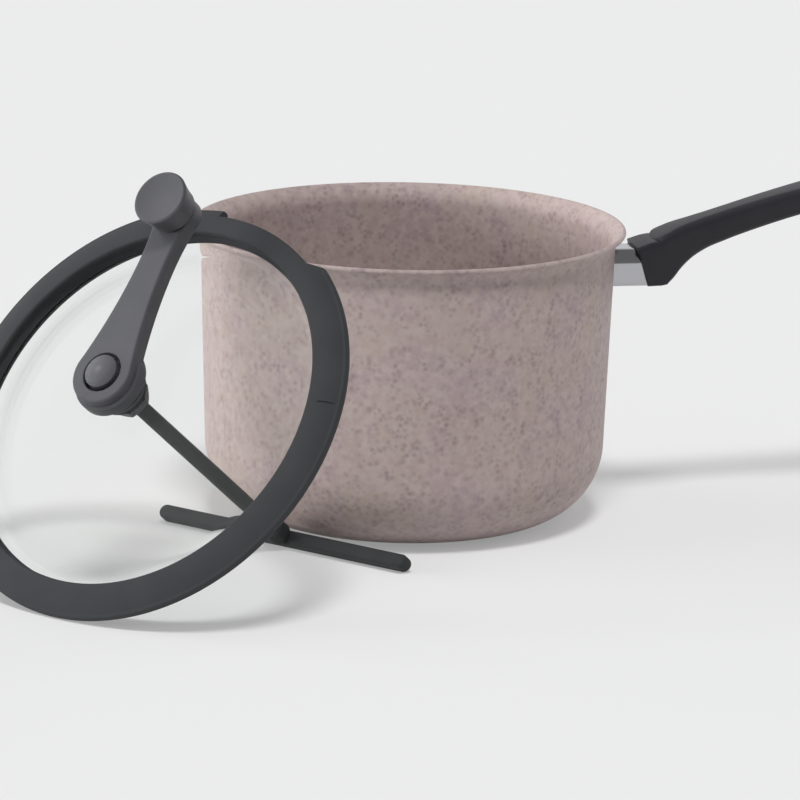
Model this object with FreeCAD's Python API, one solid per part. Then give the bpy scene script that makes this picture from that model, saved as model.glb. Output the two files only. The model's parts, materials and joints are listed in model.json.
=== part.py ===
import FreeCAD, Part
import math
import os

from FreeCAD import Placement, Rotation, Vector

# Stovetop popcorn popper: an open pot with a side handle, and beside it the glass lid with its hand crank, shaft
# and stirring paddle.  The lid lies as it is put down in use: it leans on the edge of its ring and on the paddle.
# Millimetres.  The origin is the centre of the pot's underside, +Z is up and +X points along the handle.
# The lid group is drawn in the lid's own frame and then placed: there +Z is the crank's axis, X is along the
# paddle, Y is along the crank arm, and Z = 0 is the middle of the ring's flange.

# ---- driving dimensions -------------------------------------------------------------------------------------------

# pot
POT_HEIGHT = 142.0
WALL = 2.3
FOOT_RADIUS = 97.0            # outside of the wall where the base curve ends
WALL_TOP_RADIUS = 100.2       # outside of the wall where the lip starts to flare
BASE_CURVE = 36.8             # outside radius of the curve between base and wall
LIP_CURVE = 9.0               # outside radius of the flare
LIP_TURN = 60.0               # degrees that the flare turns outwards

# handle and its fixing
GUARD_WIDTH = 24.0
GUARD_BOTTOM = 111.6
GUARD_TOP = 129.4
GUARD_SHEET = 1.0
GUARD_TOP_CORNER = 5.5
GUARD_LOW_CORNER = 2.5
HANDLE_FACE_TOP = 111.6       # the handle's front face leans: x at the guard's top and bottom
HANDLE_FACE_LOW = 116.8
LUG_HALF_WIDTH = 4.0
LUG_HEIGHT = 9.0
LUG_END = 130.0
LUG_FOOT_FACE = 103.0
RIVET_SPREAD = 6.8            # each rivet's distance from the handle's middle plane
RIVET_RADIUS = 1.8
SCREW_X = 124.5
HANDLE_SCREW_RADIUS = 2.0
HANDLE_SCREW_SEAT = 114.4      # top of the recess for the screw's head in the handle's underside
LOCK_WASHER_THICK = 0.8

# lid ring and glass
RING_RADIUS = 106.2
RING_LIP_RADIUS = 90.9
RING_CROWN = 7.8              # height of the ring's raised inner rim
CROWN_BULGE = 0.9             # of the ring's face above a straight slope from the rim to the flange's edge
FLANGE_HALF = 2.0
FLANGE_EDGE = 1.6
SKIRT_RADIUS = 96.2
SKIRT_DEPTH = 8.0
VENT_RADIUS = 101.0
VENT_START = 58.0             # angles from the paddle's direction towards the crank arm's
VENT_END = 92.5
SHOULDER_RADIUS = 104.6       # the flange is a little narrower beside the vent, under the arm
SHOULDER_END = 103.0
MARK_ANGLE = 13.0             # fine groove across the ring's face
MARK_SWEEP = 0.5
GLASS_RADIUS = 94.0
GLASS_THICKNESS = 4.0
GLASS_RIM_TOP = -1.6
GLASS_APEX = 20.5
DOME_RADIUS = 170.0
DOME_BLEND = 10.0
GLASS_HOLE = 6.0

# hub, shaft and crank: heights are along the crank's axis, from the ring's middle plane
SHAFT_RADIUS = 3.75
RUNNING_GAP = 0.05            # radial clearance of each turning fit
FACE_GAP = 0.15               # axial clearance of each turning face
FIT_GAP = 0.05                # radial clearance of screws and pins in their own holes
NECK_FLANGE_RADIUS = 12.5
NECK_RADIUS = 10.0
NECK_TUBE_RADIUS = 5.6
NECK_BOTTOM = 10.6
NECK_TOP = 27.4
BUSH_WALL = 0.85
BUSH_FLANGE = 0.6
BOSS_RADIUS = 17.4
BOSS_BOTTOM = 29.0
ARM_BOTTOM = 31.8
ARM_TOP = 40.0
ARM_HUB_RADIUS = 15.8
ARM_REACH = 84.0              # from the crank's axis to the knob's axis
ARM_END_RADIUS = 10.0
CAP_RECESS_RADIUS = 9.8
CAP_RADIUS = 8.2
CAP_FLOOR = 36.0
CAP_APEX = 43.4
SQUARE = 5.3                  # across the flats of the shaft's square end
SQUARE_BOTTOM = 31.5

# knob
KNOB_TOP_RADIUS = 13.5
KNOB_FOOT_RADIUS = 11.4
KNOB_HEIGHT = 13.2
KNOB_DISH = 1.3
SPINDLE_RADIUS = 3.0
SPINDLE_SEAT = 35.4           # underside of the arm where the spindle's head bears

# paddle
SHAFT_REACH = 132.2           # from the ring's middle plane down to the paddle's centre line
PADDLE_LENGTH = 149.0
PADDLE_HALF = 3.6
PADDLE_EDGE = 1.9
PADDLE_BOSS_RADIUS = 5.8
PADDLE_BOSS_TOP = 13.0

# where the lid group lies beside the pot
LID_AZIMUTH = -137.8          # direction from the pot's axis to the lid, seen from above
PADDLE_DISTANCE = 94.5        # from the pot's axis to the paddle's centre line
PADDLE_SHIFT = 0.4            # of the paddle's centre along its own line


def cosd(angle):
    return math.cos(math.radians(angle))


def sind(angle):
    return math.sin(math.radians(angle))


# ---- drawing helpers ----------------------------------------------------------------------------------------------

def arc(centre, radius, start, end):
    """Start, middle and end of an arc of a profile; angles in degrees from the profile's first axis."""
    angles = (start, (start + end) / 2, end)
    return [(centre[0] + radius * cosd(a), centre[1] + radius * sind(a)) for a in angles]


def profile(*items, plan=False):
    """Closed face from corner points and arcs, in the XZ plane (r, z), or in the XY plane when plan is set."""
    def point(pair):
        return Vector(pair[0], pair[1], 0) if plan else Vector(pair[0], 0, pair[1])

    strokes = [[point(p) for p in (item if isinstance(item, list) else [item])] for item in items]
    edges = []
    for stroke, following in zip(strokes, strokes[1:] + strokes[:1]):
        if len(stroke) == 3:
            edges.append(Part.Arc(*stroke).toShape())
        if stroke[-1].distanceToPoint(following[0]) > 1e-7:
            edges.append(Part.makeLine(stroke[-1], following[0]))
    return Part.Face(Part.Wire(edges))


def turned(*items, sweep=360.0):
    """Solid of revolution about Z."""
    return profile(*items).revolve(Vector(0, 0, 0), Vector(0, 0, 1), sweep)


def disc(radius, low, high, at=(0, 0)):
    return Part.makeCylinder(radius, high - low, Vector(at[0], at[1], low))


def washer(outer, inner, low, high, at=(0, 0)):
    return disc(outer, low, high, at).cut(disc(inner, low - 1, high + 1, at))


def block(x_span, y_span, z_span):
    low = Vector(x_span[0], y_span[0], z_span[0])
    return Part.makeBox(x_span[1] - x_span[0], y_span[1] - y_span[0], z_span[1] - z_span[0], low)


def hexagon(across_flats, low, high, at=(0, 0)):
    corner = across_flats / 2 / cosd(30)
    points = [(at[0] + corner * cosd(60 * k), at[1] + corner * sind(60 * k)) for k in range(6)]
    face = profile(*points, plan=True)
    face.translate(Vector(0, 0, low))
    return face.extrude(Vector(0, 0, high - low))


def along_x(shape, origin):
    """Turn a shape drawn about Z so that its axis points along +X from origin."""
    shape.Placement = Placement(Vector(*origin), Rotation(Vector(0, 1, 0), 90)).multiply(shape.Placement)
    return shape


# ---- pot ----------------------------------------------------------------------------------------------------------

def pot_profile(inset):
    """One side of the pot's wall, from its axis to its lip, set inwards from the outside surface by inset."""
    flat = FOOT_RADIUS - BASE_CURVE
    edge_centre = POT_HEIGHT - WALL / 2
    lip_centre = (WALL_TOP_RADIUS + LIP_CURVE, edge_centre - (LIP_CURVE + WALL / 2) * sind(LIP_TURN))
    base = arc((flat, BASE_CURVE), BASE_CURVE - inset, -90, 0)
    lip = arc(lip_centre, LIP_CURVE + inset, 180, 180 - LIP_TURN)
    return base, lip


def filled_pot(inset):
    """Everything within one surface of the pot, as a solid that reaches above the lip."""
    base, lip = pot_profile(inset)
    top = POT_HEIGHT + 20
    return turned((0, inset), base, lip, (lip[-1][0], top), (0, top))


def pot_body():
    base, lip = pot_profile(0)
    inner_base, inner_lip = pot_profile(WALL)
    edge_middle = ((lip[-1][0] + inner_lip[-1][0]) / 2 + WALL / 2 * sind(LIP_TURN),
                   (lip[-1][1] + inner_lip[-1][1]) / 2 + WALL / 2 * cosd(LIP_TURN))
    edge = [lip[-1], edge_middle, inner_lip[-1]]
    shell = turned((0, 0), base, lip, edge, inner_lip[::-1], inner_base[::-1], (0, WALL))
    for side in (-1, 1):
        hole = along_x(disc(RIVET_RADIUS + FIT_GAP, 0, 20), (90, side * RIVET_SPREAD, lug_level()))
        shell = shell.cut(hole)
    return shell


# ---- handle -------------------------------------------------------------------------------------------------------

def lug_level():
    return (GUARD_BOTTOM + GUARD_TOP) / 2


def rounded_section(x, half_width, low, high, low_corner, top_corner):
    """Wire of a rounded rectangle in the plane at x, with its own radii below and above."""
    corners = [arc((half_width - low_corner, low + low_corner), low_corner, -90, 0),
               arc((half_width - top_corner, high - top_corner), top_corner, 0, 90),
               arc((top_corner - half_width, high - top_corner), top_corner, 90, 180),
               arc((low_corner - half_width, low + low_corner), low_corner, 180, 270)]
    edges = []
    for corner, following in zip(corners, corners[1:] + corners[:1]):
        points = [Vector(x, y, z) for y, z in corner]
        edges.append(Part.Arc(*points).toShape())
        edges.append(Part.makeLine(points[-1], Vector(x, *following[0])))
    return Part.Wire(edges)


def beyond_handle_face():
    """Solid on the handle's side of its leaning front face."""
    lean = (HANDLE_FACE_LOW - HANDLE_FACE_TOP) / (GUARD_TOP - GUARD_BOTTOM)
    reach = 60.0
    low, high = GUARD_BOTTOM - reach, GUARD_TOP + reach
    face = profile((HANDLE_FACE_LOW + lean * reach, low), (400, low), (400, high),
                   (HANDLE_FACE_TOP - lean * reach, high))
    face.translate(Vector(0, -reach, 0))
    return face.extrude(Vector(0, 2 * reach, 0))


def flame_guard():
    sections = []
    for inset in (0, GUARD_SHEET):
        wire = rounded_section(90, GUARD_WIDTH / 2 - inset, GUARD_BOTTOM + inset, GUARD_TOP - inset,
                               GUARD_LOW_CORNER - inset, GUARD_TOP_CORNER - inset)
        sections.append(Part.Face(wire).extrude(Vector(40, 0, 0)))
    tube = sections[0].cut(sections[1])
    return tube.cut(filled_pot(0)).cut(beyond_handle_face())


def handle_bracket():
    level = lug_level()
    foot = block((90, LUG_FOOT_FACE), (-10, 10), (level - 6.5, level + 6.5))
    lug = block((95, LUG_END), (-LUG_HALF_WIDTH, LUG_HALF_WIDTH), (level - LUG_HEIGHT / 2, level + LUG_HEIGHT / 2))
    shape = foot.fuse(lug).removeSplitter().cut(filled_pot(0))
    for side in (-1, 1):
        hole = along_x(disc(RIVET_RADIUS + FIT_GAP, 0, 20), (90, side * RIVET_SPREAD, level))
        shape = shape.cut(hole)
    thread = disc(HANDLE_SCREW_RADIUS + FIT_GAP, level - 20, level + 3.2, (SCREW_X, 0))
    return shape.cut(thread)


def bracket_rivets():
    """Two rivets: a domed head inside the pot, a shank through the wall, and a set head on the bracket's foot."""
    rivets = []
    cavity = filled_pot(WALL)
    for side in (-1, 1):
        origin = (90, side * RIVET_SPREAD, lug_level())
        inner_x = math.sqrt((WALL_TOP_RADIUS - WALL) ** 2 - RIVET_SPREAD ** 2) - 90
        head = turned((0, inner_x - 2.4), arc((0, inner_x + 1.8), 4.2, -90, -20), (3.9, inner_x + 2), (0, inner_x + 2))
        head = along_x(head, origin).common(cavity)
        shank = along_x(disc(RIVET_RADIUS, inner_x - 1.5, LUG_FOOT_FACE - 90 + 0.5), origin)
        tail = along_x(turned((0, LUG_FOOT_FACE - 90), (2.6, LUG_FOOT_FACE - 90), (2.2, LUG_FOOT_FACE - 90 + 1.1),
                              (0, LUG_FOOT_FACE - 90 + 1.1)), origin)
        rivets.append(head.fuse([shank, tail]).removeSplitter())
    return Part.makeCompound(rivets)


# Grip of the handle, station by station: x, underside, top, half width.
GRIP = [
    (123.5, 111.7, 135.2, 12.6),
    (127.0, 112.1, 137.4, 12.1),
    (130.0, 114.8, 138.9, 11.4),
    (134.0, 119.6, 140.5, 10.5),
    (139.0, 124.3, 142.1, 9.7),
    (146.0, 128.8, 144.3, 9.1),
    (156.0, 133.0, 147.4, 8.9),
    (175.0, 139.6, 153.1, 9.5),
    (202.0, 147.6, 160.2, 11.2),
    (230.0, 154.2, 166.6, 12.8),
    (258.0, 159.2, 171.0, 13.4),
    (277.0, 161.8, 172.8, 12.0),
    (286.0, 163.0, 172.8, 9.2),
    (290.0, 164.6, 171.4, 6.0),
]
COLLAR_HALF_WIDTH = 13.4
COLLAR_BOTTOM = 111.7
COLLAR_RISE = 0.27            # slope of the collar's top
HANG_HOLE = (270.0, 4.6, 9.0)  # centre x, half width, half length between the end rounds


def handle():
    sections = [rounded_section(x, half, low, high, 3.2, 2.8) for x, low, high, half in GRIP[:-2]]
    sections += [rounded_section(x, half, low, high, 3.0, 2.8) for x, low, high, half in GRIP[-2:]]
    grip = Part.makeLoft(sections, True, False)
    # collar round the flame guard's end: its top rises outwards and ends in a low step
    collar_top = GUARD_TOP + 0.9
    start, end = 100.0, GRIP[0][0] + 1.0
    face = profile((start, COLLAR_BOTTOM), (end, COLLAR_BOTTOM),
                   (end, collar_top + COLLAR_RISE * (end - HANDLE_FACE_TOP)),
                   (start, collar_top + COLLAR_RISE * (start - HANDLE_FACE_TOP)))
    face.translate(Vector(0, -COLLAR_HALF_WIDTH, 0))
    collar = face.extrude(Vector(0, 2 * COLLAR_HALF_WIDTH, 0))
    long_edges = [e for e in collar.Edges if abs(abs(e.tangentAt(e.FirstParameter).x) - 1) < 0.1]
    collar = collar.makeFillet(1.8, long_edges)
    over_guard = Part.Face(rounded_section(90, GUARD_WIDTH / 2 + FIT_GAP, GUARD_BOTTOM - 3, GUARD_TOP + FIT_GAP,
                                           GUARD_LOW_CORNER, GUARD_TOP_CORNER)).extrude(Vector(100, 0, 0))
    tongue = collar.cut(beyond_handle_face()).cut(over_guard)
    tongue = tongue.common(block((HANDLE_FACE_TOP, 200), (-20, 20), (GUARD_TOP, 200)))
    body = collar.common(beyond_handle_face()).fuse([tongue, grip]).removeSplitter()
    level = lug_level()
    slot = block((100, LUG_END + 0.2), (-LUG_HALF_WIDTH - FIT_GAP, LUG_HALF_WIDTH + FIT_GAP),
                 (level - LUG_HEIGHT / 2 - FIT_GAP, level + LUG_HEIGHT / 2 + FIT_GAP))
    screw_way = disc(HANDLE_SCREW_RADIUS + FIT_GAP, 100, level, (SCREW_X, 0))
    screw_seat = disc(4.4, 100, HANDLE_SCREW_SEAT, (SCREW_X, 0))
    x, half, reach = HANG_HOLE
    hang = profile(arc((x + reach - half, 0), half, -90, 90), arc((x - reach + half, 0), half, 90, 270), plan=True)
    hang.translate(Vector(0, 0, 120))
    return body.cut([slot, screw_way, screw_seat, hang.extrude(Vector(0, 0, 80))])


def handle_lock_washer():
    low = HANDLE_SCREW_SEAT - LOCK_WASHER_THICK
    return washer(3.6, HANDLE_SCREW_RADIUS + 0.15, low, HANDLE_SCREW_SEAT, (SCREW_X, 0))


def handle_screw():
    high = HANDLE_SCREW_SEAT - LOCK_WASHER_THICK
    low = high - 1.8
    head = turned((0, low), (3.2, low), arc((3.2, low + 0.6), 0.6, -90, 0), (3.8, high), (0, high))
    head.translate(Vector(SCREW_X, 0, 0))
    shank = disc(HANDLE_SCREW_RADIUS, high - 0.5, lug_level() + 3.0, (SCREW_X, 0))
    drive = block((SCREW_X - 2.6, SCREW_X + 2.6), (-0.5, 0.5), (low - 1, low + 0.9))
    return head.fuse(shank).removeSplitter().cut(drive)


# ---- lid: ring, glass and hub -------------------------------------------------------------------------------------

def ring_face(drop):
    """Arc of the ring's sloping face from its raised inner rim to the flange's edge, let down by drop."""
    start = (RING_LIP_RADIUS + 1.2, RING_CROWN - drop)
    end = (RING_RADIUS - FLANGE_EDGE, FLANGE_HALF - drop)
    middle = ((start[0] + end[0]) / 2, (start[1] + end[1]) / 2)
    length = math.hypot(end[0] - start[0], end[1] - start[1])
    normal = ((start[1] - end[1]) / length, (end[0] - start[0]) / length)
    crest = (middle[0] + CROWN_BULGE * normal[0], middle[1] + CROWN_BULGE * normal[1])
    return [start, crest, end]


def lid_ring():
    """Moulded ring: a raised rim, a flange that lies on the pot's lip, a skirt inside it and the glass's groove."""
    edge = FLANGE_EDGE
    groove_radius = GLASS_RADIUS + 0.1
    groove_top = GLASS_RIM_TOP + 0.02
    groove_low = GLASS_RIM_TOP - GLASS_THICKNESS - 0.02
    low_lip = RING_LIP_RADIUS + 0.6
    shape = turned(
        ring_face(0),
        arc((RING_RADIUS - edge, FLANGE_HALF - edge), edge, 90, 0),
        arc((RING_RADIUS - edge, edge - FLANGE_HALF), edge, 0, -90),
        (SKIRT_RADIUS, -FLANGE_HALF),
        arc((SKIRT_RADIUS - 1.2, 1.2 - SKIRT_DEPTH), 1.2, 0, -90),
        (low_lip + 1.4, -SKIRT_DEPTH),
        (low_lip, 0.8 - SKIRT_DEPTH),
        (low_lip, groove_low),
        (groove_radius, groove_low),
        (groove_radius, groove_top),
        (RING_LIP_RADIUS, groove_top),
        arc((RING_LIP_RADIUS + 1.2, RING_CROWN - 1.2), 1.2, 180, 90))
    # steam vent: one end of the cut runs radially and the other along the paddle's direction
    ends = [(VENT_RADIUS * cosd(a), VENT_RADIUS * sind(a)) for a in (VENT_END, VENT_START)]
    scale = 1.3
    vent = profile(arc((0, 0), VENT_RADIUS, VENT_END, VENT_START), (ends[1][0] + 40, ends[1][1]),
                   (ends[1][0] + 40, ends[0][1] * scale), (ends[0][0] * scale, ends[0][1] * scale), plan=True)
    shoulder = profile(arc((0, 0), SHOULDER_RADIUS, SHOULDER_END, VENT_END - 1),
                       (120 * cosd(VENT_END - 1), 120 * sind(VENT_END - 1)),
                       (120 * cosd(SHOULDER_END), 120 * sind(SHOULDER_END)), plan=True)
    for cut in (vent, shoulder):
        cut.translate(Vector(0, 0, -5))
        shape = shape.cut(cut.extrude(Vector(0, 0, 20)))
    groove_floor = ring_face(0.6)
    groove = turned(groove_floor, (groove_floor[-1][0], 20), (groove_floor[0][0], 20), sweep=MARK_SWEEP)
    groove.rotate(Vector(0, 0, 0), Vector(0, 0, 1), MARK_ANGLE - MARK_SWEEP / 2)
    return shape.cut(groove)


def dome_profile(depth):
    """The glass's surface at a depth below its top face: hole edge, dome arc, blend arc and rim edge."""
    centre = GLASS_APEX - DOME_RADIUS
    blend_height = GLASS_RIM_TOP + DOME_BLEND
    blend_radius = math.sqrt((DOME_RADIUS + DOME_BLEND) ** 2 - (blend_height - centre) ** 2)
    meet = math.degrees(math.atan2(blend_height - centre, blend_radius))
    radius = DOME_RADIUS - depth
    hole = math.degrees(math.acos(GLASS_HOLE / radius))
    dome = arc((0, centre), radius, hole, meet)
    blend = arc((blend_radius, blend_height), DOME_BLEND + depth, 180 + meet, 270)
    return dome, blend, (GLASS_RADIUS, GLASS_RIM_TOP - depth)


def lid_glass():
    dome, blend, rim = dome_profile(0)
    low_dome, low_blend, low_rim = dome_profile(GLASS_THICKNESS)
    return turned(dome, blend, rim, low_rim, low_blend[::-1], low_dome[::-1])


def ball(depth):
    return Part.makeSphere(DOME_RADIUS - depth, Vector(0, 0, GLASS_APEX - DOME_RADIUS))


def upper_seal():
    return washer(NECK_FLANGE_RADIUS - 0.5, GLASS_HOLE, GLASS_APEX - 2, GLASS_APEX + 1).cut(ball(0))


def lower_seal():
    low = GLASS_APEX - GLASS_THICKNESS - 1.6
    return washer(9.0, GLASS_HOLE, low, GLASS_APEX).common(ball(GLASS_THICKNESS))


def hub_neck():
    flange_low = GLASS_APEX + 1
    body = turned((0, NECK_BOTTOM), (NECK_TUBE_RADIUS, NECK_BOTTOM), (NECK_TUBE_RADIUS, flange_low),
                  (NECK_FLANGE_RADIUS, flange_low), (NECK_FLANGE_RADIUS, flange_low + 2.2),
                  arc((NECK_FLANGE_RADIUS, flange_low + 4.7), 2.5, -90, -180), (NECK_RADIUS, NECK_TOP), (0, NECK_TOP))
    bore = disc(SHAFT_RADIUS + RUNNING_GAP + BUSH_WALL, 0, 50)
    return body.cut(bore)


def hub_nut():
    high = GLASS_APEX - GLASS_THICKNESS - 1.6
    hexed = hexagon(17.0, high - 4.0, high)
    crown = turned((0, high - 4.0), (8.2, high - 4.0), (10.2, high - 3.0), (10.2, high), (0, high))
    return hexed.common(crown).cut(disc(NECK_TUBE_RADIUS + FIT_GAP, 0, 30))


def shaft_bush():
    inner = SHAFT_RADIUS + RUNNING_GAP
    sleeve = washer(inner + BUSH_WALL, inner, NECK_BOTTOM, NECK_TOP)
    return sleeve.fuse(washer(7.0, inner, NECK_TOP, NECK_TOP + BUSH_FLANGE)).removeSplitter()


# ---- crank, shaft and paddle --------------------------------------------------------------------------------------

def arm_outline(inset=0.0):
    """Plan of the arm: a round hub, sides that draw in to a waist, and a round end under the knob."""
    hub, end = ARM_HUB_RADIUS - inset, ARM_END_RADIUS - inset
    leave, arrive = 20.0, 8.0
    start = (hub * cosd(leave), hub * sind(leave))
    side = [start, (10.2 - inset, 29.0), (7.8 - inset, 57.0)]
    flare_end = (end * cosd(arrive), ARM_REACH - end * sind(arrive))
    flare = [side[-1], (8.2 - inset, 70.0), flare_end]
    tip = arc((0, ARM_REACH), end, -arrive, 180 + arrive)
    left_flare = [(-x, y) for x, y in flare[::-1]]
    left_side = [(-x, y) for x, y in side[::-1]]
    return profile(side, flare, tip, left_flare, left_side, arc((0, 0), hub, 180 - leave, 360 + leave), plan=True)


def crank_arm():
    plate = arm_outline()
    plate.translate(Vector(0, 0, ARM_BOTTOM))
    plate = plate.extrude(Vector(0, 0, ARM_TOP - ARM_BOTTOM))
    top_edges = [e for e in plate.Edges if e.BoundBox.ZMin > ARM_TOP - 0.01]
    plate = plate.makeFillet(1.3, top_edges)
    boss = turned((0, BOSS_BOTTOM), (BOSS_RADIUS - 1, BOSS_BOTTOM), arc((BOSS_RADIUS - 1, BOSS_BOTTOM + 1), 1, -90, 0),
                  arc((BOSS_RADIUS - 2, 33.6), 2, 0, 90), (0, 35.6))
    shape = plate.fuse(boss).removeSplitter()
    # moulded hollow under the arm, crossed by ribs
    wall = 2.2
    hollow = arm_outline(wall)
    hollow.translate(Vector(0, 0, ARM_BOTTOM - 1))
    hollow = hollow.extrude(Vector(0, 0, ARM_TOP - ARM_BOTTOM - 1.6))
    hollow = hollow.common(block((-30, 30), (BOSS_RADIUS + 2, ARM_REACH - 10), (0, 60)))
    for rib in (34.0, 47.0, 60.0):
        hollow = hollow.cut(block((-30, 30), (rib - 0.9, rib + 0.9), (0, 60)))
    shape = shape.cut(hollow)
    # cap recess, round and square seats of the shaft, spindle bore and its head's recess
    shape = shape.cut(disc(CAP_RECESS_RADIUS, CAP_FLOOR, 60))
    shape = shape.cut(disc(SHAFT_RADIUS + FIT_GAP, 0, SQUARE_BOTTOM))
    half = SQUARE / 2 + FIT_GAP
    shape = shape.cut(block((-half, half), (-half, half), (20, 60)))
    shape = shape.cut(disc(SPINDLE_RADIUS + RUNNING_GAP, 20, 60, (0, ARM_REACH)))
    return shape.cut(disc(5.6, 20, SPINDLE_SEAT, (0, ARM_REACH)))


def hub_cap():
    """Domed cap, hollow below, pressed into the arm's recess over the nut."""
    shoulder = ARM_TOP + 0.4
    rise = CAP_APEX - shoulder
    curve = (CAP_RADIUS ** 2 + rise ** 2) / (2 * rise)
    centre = CAP_APEX - curve
    side = math.degrees(math.asin((shoulder - centre) / curve))
    return turned((0, CAP_APEX - 2.4), (6.6, shoulder - 0.8), (6.6, CAP_FLOOR), (CAP_RADIUS, CAP_FLOOR),
                  arc((0, centre), curve, side, 90))


def shaft_washer():
    return washer(5.6, 2.6, CAP_FLOOR, CAP_FLOOR + 0.8)


def shaft_nut():
    nut = hexagon(8.0, CAP_FLOOR + 0.8, CAP_FLOOR + 3.6)
    return nut.cut(disc(2.5 + FIT_GAP, 30, 50))


def thrust_washer():
    return washer(8.5, SHAFT_RADIUS + FIT_GAP, NECK_TOP + BUSH_FLANGE + FACE_GAP, BOSS_BOTTOM)


def clip_levels():
    """Bottom and top of the retaining clip, and top of the washer above it."""
    top = NECK_BOTTOM - FACE_GAP
    return top - 1.6, top - 0.8, top


def clip_washer():
    low, high = clip_levels()[1:]
    return washer(7.2, SHAFT_RADIUS + FIT_GAP, low, high)


def retaining_clip():
    low, high, _ = clip_levels()
    clip = washer(6.4, 2.9 + FIT_GAP, low, high)
    mouth = profile((0, 0), (10 * cosd(-35), 10 * sind(-35)), (10 * cosd(35), 10 * sind(35)), plan=True)
    mouth.translate(Vector(0, 0, low - 1))
    return clip.cut(mouth.extrude(Vector(0, 0, 3)))


def drive_shaft():
    low, high, _ = clip_levels()
    foot = -SHAFT_REACH
    rod = disc(SHAFT_RADIUS, foot + 2, SQUARE_BOTTOM)
    spigot = disc(2.4, foot - 2.4, foot + 2.5)
    half = SQUARE / 2
    square = block((-half, half), (-half, half), (SQUARE_BOTTOM - 0.5, CAP_FLOOR))
    thread = disc(2.5, CAP_FLOOR - 0.5, CAP_FLOOR + 4.2)
    rod = rod.fuse([spigot, square, thread]).removeSplitter()
    rod = rod.cut(washer(6, 2.9, low, high))
    cross_hole = along_x(disc(1.25, -20, 20), (0, 0, foot + 8))
    return rod.cut(cross_hole)


def paddle():
    foot = -SHAFT_REACH
    reach = PADDLE_LENGTH / 2 - PADDLE_HALF
    bar = profile(arc((reach, 0), PADDLE_HALF, -90, 90), arc((-reach, 0), PADDLE_HALF, 90, 270), plan=True)
    bar.translate(Vector(0, 0, foot - PADDLE_HALF))
    bar = bar.extrude(Vector(0, 0, 2 * PADDLE_HALF))
    rims = [e for e in bar.Edges if e.BoundBox.ZLength < 0.01]
    bar = bar.makeFillet(PADDLE_EDGE, rims)
    boss = turned((0, foot + 1), (PADDLE_HALF - 0.4, foot + 1), (PADDLE_BOSS_RADIUS, foot + 4),
                  arc((PADDLE_BOSS_RADIUS - 1, foot + PADDLE_BOSS_TOP - 1), 1, 0, 90), (0, foot + PADDLE_BOSS_TOP))
    shape = bar.fuse(boss).removeSplitter()
    shape = shape.cut(disc(SHAFT_RADIUS + FIT_GAP, foot + 2, foot + 30))
    shape = shape.cut(disc(2.4 + FIT_GAP, foot - 2.4, foot + 10))
    return shape.cut(along_x(disc(1.25, -20, 20), (0, 0, foot + 8)))


def paddle_pin():
    return along_x(disc(1.2, -5.6, 5.6), (0, 0, 8 - SHAFT_REACH))


# ---- knob ---------------------------------------------------------------------------------------------------------

KNOB_LOW = ARM_TOP + FACE_GAP + 0.6


def at_knob(shape):
    shape.translate(Vector(0, ARM_REACH, 0))
    return shape


def crank_knob():
    low, high = KNOB_LOW, KNOB_LOW + KNOB_HEIGHT
    edge = 1.1
    rim = high - edge
    waist = [(KNOB_FOOT_RADIUS, low + 1.5), (KNOB_FOOT_RADIUS + 0.7, low + 6.0), (KNOB_TOP_RADIUS, rim)]
    dish_edge = KNOB_TOP_RADIUS - 1.6
    dish_radius = (dish_edge ** 2 + KNOB_DISH ** 2) / (2 * KNOB_DISH)
    opening = math.degrees(math.asin(dish_edge / dish_radius))
    dish = arc((0, high - KNOB_DISH + dish_radius), dish_radius, opening - 90, -90)
    top = [(KNOB_TOP_RADIUS, rim), (KNOB_TOP_RADIUS - 0.35, high - 0.3), (KNOB_TOP_RADIUS - 1.6, high)]
    body = turned((0, low), (KNOB_FOOT_RADIUS - 0.8, low), waist, top, dish)
    return at_knob(body.cut(disc(3.6 + FIT_GAP, low - 1, low + 9)))


def knob_insert():
    return at_knob(washer(3.6, 2.0 + FIT_GAP, KNOB_LOW, KNOB_LOW + 8.8))


def knob_washer():
    return at_knob(washer(6.5, SPINDLE_RADIUS + FIT_GAP, KNOB_LOW - 0.6, KNOB_LOW))


def knob_screw():
    """Shoulder screw: pan head under the arm, plain spindle through it, thread in the knob's insert."""
    seat = SPINDLE_SEAT - FACE_GAP
    head = turned((0, seat - 2.6), (3.9, seat - 2.6), arc((3.9, seat - 1.6), 1, -90, 0), (4.9, seat), (0, seat))
    shape = head.fuse([disc(SPINDLE_RADIUS, seat - 0.5, KNOB_LOW), disc(2.0, KNOB_LOW - 0.5, KNOB_LOW + 8)])
    for span in ((-2.2, 2.2), (-0.5, 0.5)):
        across = (-0.5, 0.5) if span[1] > 1 else (-2.2, 2.2)
        shape = shape.cut(block(span, across, (seat - 4, seat - 1.4)))
    return at_knob(shape.removeSplitter())


# ---- placing the lid group ----------------------------------------------------------------------------------------

def lid_placement():
    """Lean of the lid when the lower corner of the ring's flange and that of the paddle both touch the table."""
    ring_radius = RING_RADIUS - FLANGE_EDGE
    ring_offset = FLANGE_EDGE - FLANGE_HALF
    paddle_corner = PADDLE_HALF - PADDLE_EDGE
    across = ring_radius - paddle_corner
    along = SHAFT_REACH + ring_offset + paddle_corner
    span = math.hypot(across, along)
    rise = math.degrees(math.acos((PADDLE_EDGE - FLANGE_EDGE) / span) - math.atan2(along, across))
    paddle_height = paddle_corner * (sind(rise) + cosd(rise)) + PADDLE_EDGE
    paddle_line = LID_AZIMUTH + 90
    axis = Vector(cosd(LID_AZIMUTH) * cosd(rise), sind(LID_AZIMUTH) * cosd(rise), sind(rise))
    centre = Vector(PADDLE_DISTANCE * cosd(LID_AZIMUTH) + PADDLE_SHIFT * cosd(paddle_line),
                    PADDLE_DISTANCE * sind(LID_AZIMUTH) + PADDLE_SHIFT * sind(paddle_line), paddle_height)
    return Placement(centre + axis * SHAFT_REACH, Rotation(paddle_line, 0, 90 - rise))


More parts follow.
